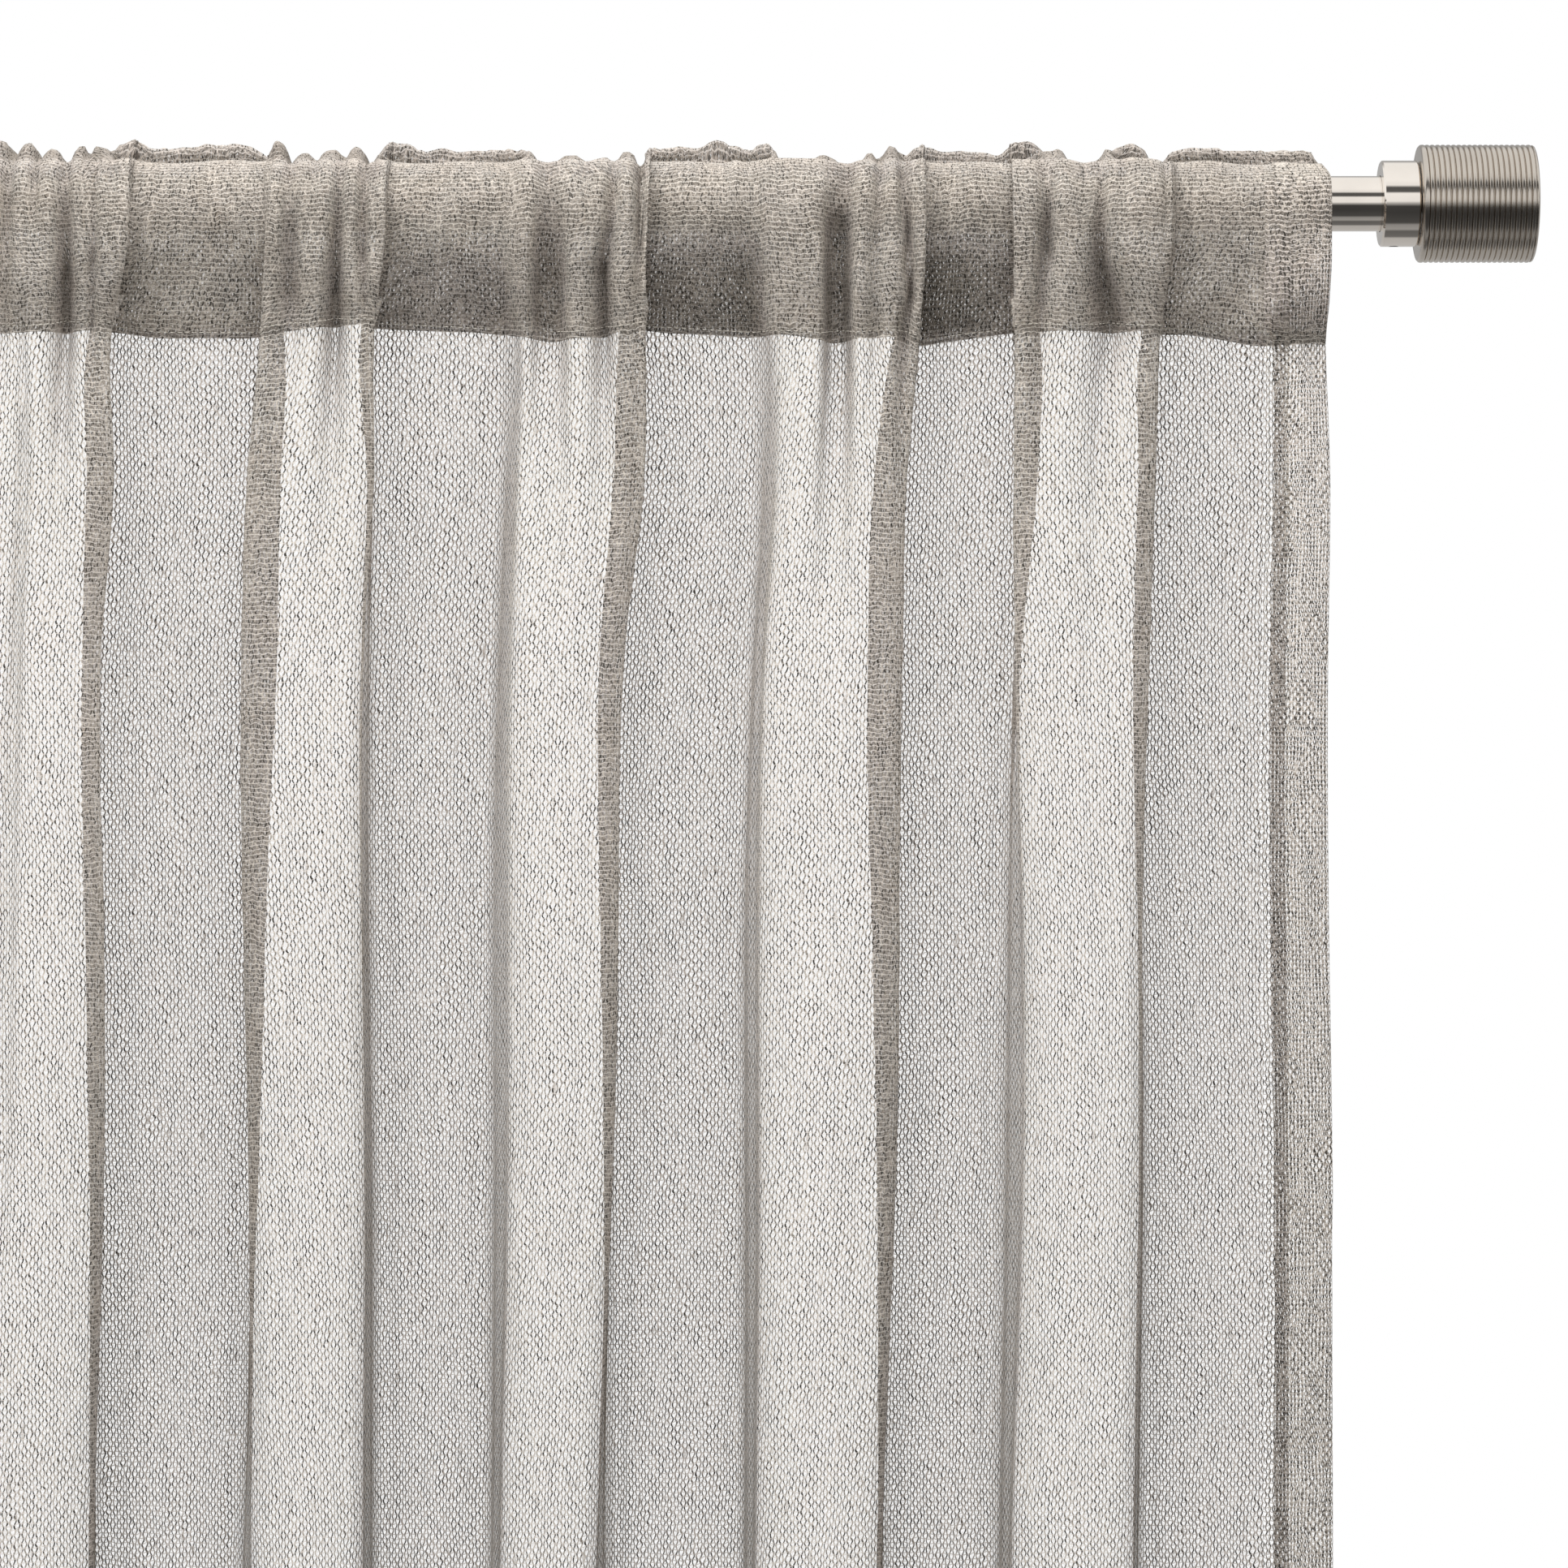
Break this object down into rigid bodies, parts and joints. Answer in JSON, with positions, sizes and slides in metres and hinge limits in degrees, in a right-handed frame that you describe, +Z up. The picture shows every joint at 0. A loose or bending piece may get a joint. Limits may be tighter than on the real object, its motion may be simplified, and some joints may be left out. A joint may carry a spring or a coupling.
{
  "type": "curtain panels on a rod",
  "caption": "Pair of sheer open-weave rod-pocket curtain panels gathered on a telescoping nickel rod with ribbed drum finials and wall brackets.",
  "frame": {"origin": "on the wall plane, at the middle of the span, level with the rod's axis", "axes": "+X along the rod to the viewer's right, +Y into the wall, +Z up"},
  "size_m": [1.6316, 0.1258, 2.1425],
  "materials": {
    "open_weave": "open warp-knit gauze in a charcoal and greige melange, with see-through gaps",
    "hem_cloth": "the same gauze folded two or three layers deep",
    "sewing_thread": "matt sewing thread",
    "polished_nickel": "polished warm nickel plate",
    "satin_nickel": "turned and lacquered satin nickel",
    "screw_steel": "plain zinc-plated steel",
    "lining_plastic": "natural nylon"
  },
  "bodies": {
    "wall_brackets": {"right_bracket_plate": "polished_nickel", "right_bracket_arm": "polished_nickel", "right_bracket_cup": "polished_nickel", "right_arm_grub_screw": "screw_steel", "right_upper_wall_screw": "screw_steel", "right_lower_wall_screw": "screw_steel", "left_bracket_plate": "polished_nickel", "left_bracket_arm": "polished_nickel", "left_bracket_cup": "polished_nickel", "left_arm_grub_screw": "screw_steel", "left_upper_wall_screw": "screw_steel", "left_lower_wall_screw": "screw_steel"},
    "rod": {"rod_outer_tube": "polished_nickel", "rod_liner_sleeve": "lining_plastic", "right_rod_pocket": "open_weave", "right_heading_lip": "hem_cloth", "right_panel_cloth": "open_weave", "right_bottom_hem": "hem_cloth", "right_outer_hem": "hem_cloth", "right_pocket_stitching": "sewing_thread", "right_bottom_hem_stitching": "sewing_thread", "right_outer_hem_stitching": "sewing_thread", "left_rod_pocket": "open_weave", "left_heading_lip": "hem_cloth", "left_panel_cloth": "open_weave", "left_bottom_hem": "hem_cloth", "left_outer_hem": "hem_cloth", "left_pocket_stitching": "sewing_thread", "left_bottom_hem_stitching": "sewing_thread", "left_outer_hem_stitching": "sewing_thread"},
    "rod_inner": {"rod_inner_tube": "polished_nickel", "left_adapter_sleeve": "lining_plastic"},
    "right_leading_edge": {"right_leading_hem": "hem_cloth", "right_leading_hem_stitching": "sewing_thread"},
    "right_finial": {"right_finial_collar": "polished_nickel", "right_finial_stud": "screw_steel"},
    "right_cap": {"right_finial_cap": "satin_nickel"},
    "right_set_screw": {"right_collar_set_screw": "screw_steel"},
    "right_clamp": {"right_clamp_screw": "screw_steel"},
    "left_leading_edge": {"left_leading_hem": "hem_cloth", "left_leading_hem_stitching": "sewing_thread"},
    "left_finial": {"left_finial_collar": "polished_nickel", "left_finial_stud": "screw_steel"},
    "left_cap": {"left_finial_cap": "satin_nickel"},
    "left_set_screw": {"left_collar_set_screw": "screw_steel"},
    "left_clamp": {"left_clamp_screw": "screw_steel"}
  },
  "joints": [
    {"name": "rod_lift", "type": "slide", "parent": "wall_brackets", "child": "rod", "axis": [0, 0, 1], "range_m": [0, 0.025]},
    {"name": "rod_telescope", "type": "slide", "parent": "rod", "child": "rod_inner", "axis": [-1, 0, 0], "range_m": [0, 0.3]},
    {"name": "right_finial_pull", "type": "slide", "parent": "rod", "child": "right_finial", "axis": [1, 0, 0], "range_m": [0, 0.02]},
    {"name": "right_cap_unscrew", "type": "hinge", "parent": "right_finial", "child": "right_cap", "pos_m": [0.7655, -0.09, 0], "axis": [1, 0, 0], "continuous": true},
    {"name": "right_set_screw_turn", "type": "hinge", "parent": "right_finial", "child": "right_set_screw", "pos_m": [0.75175, -0.09, -0.016], "axis": [0, 0, -1], "continuous": true},
    {"name": "right_clamp_turn", "type": "hinge", "parent": "wall_brackets", "child": "right_clamp", "pos_m": [0.709, -0.09, -0.02], "axis": [0, 0, -1], "continuous": true},
    {"name": "right_panel_draw", "type": "slide", "parent": "rod", "child": "right_leading_edge", "axis": [1, 0, 0], "range_m": [0, 0.3906], "deforming": ["right_rod_pocket", "right_heading_lip", "right_panel_cloth", "right_bottom_hem", "right_pocket_stitching", "right_bottom_hem_stitching"]},
    {"name": "left_finial_pull", "type": "slide", "parent": "rod_inner", "child": "left_finial", "axis": [-1, 0, 0], "range_m": [0, 0.02]},
    {"name": "left_cap_unscrew", "type": "hinge", "parent": "left_finial", "child": "left_cap", "pos_m": [-0.7655, -0.09, 0], "axis": [-1, 0, 0], "continuous": true},
    {"name": "left_set_screw_turn", "type": "hinge", "parent": "left_finial", "child": "left_set_screw", "pos_m": [-0.75175, -0.09, -0.016], "axis": [0, 0, -1], "continuous": true},
    {"name": "left_clamp_turn", "type": "hinge", "parent": "wall_brackets", "child": "left_clamp", "pos_m": [-0.709, -0.09, -0.02], "axis": [0, 0, -1], "continuous": true},
    {"name": "left_panel_draw", "type": "slide", "parent": "rod", "child": "left_leading_edge", "axis": [-1, 0, 0], "range_m": [0, 0.3906], "deforming": ["left_rod_pocket", "left_heading_lip", "left_panel_cloth", "left_bottom_hem", "left_pocket_stitching", "left_bottom_hem_stitching"]}
  ]
}
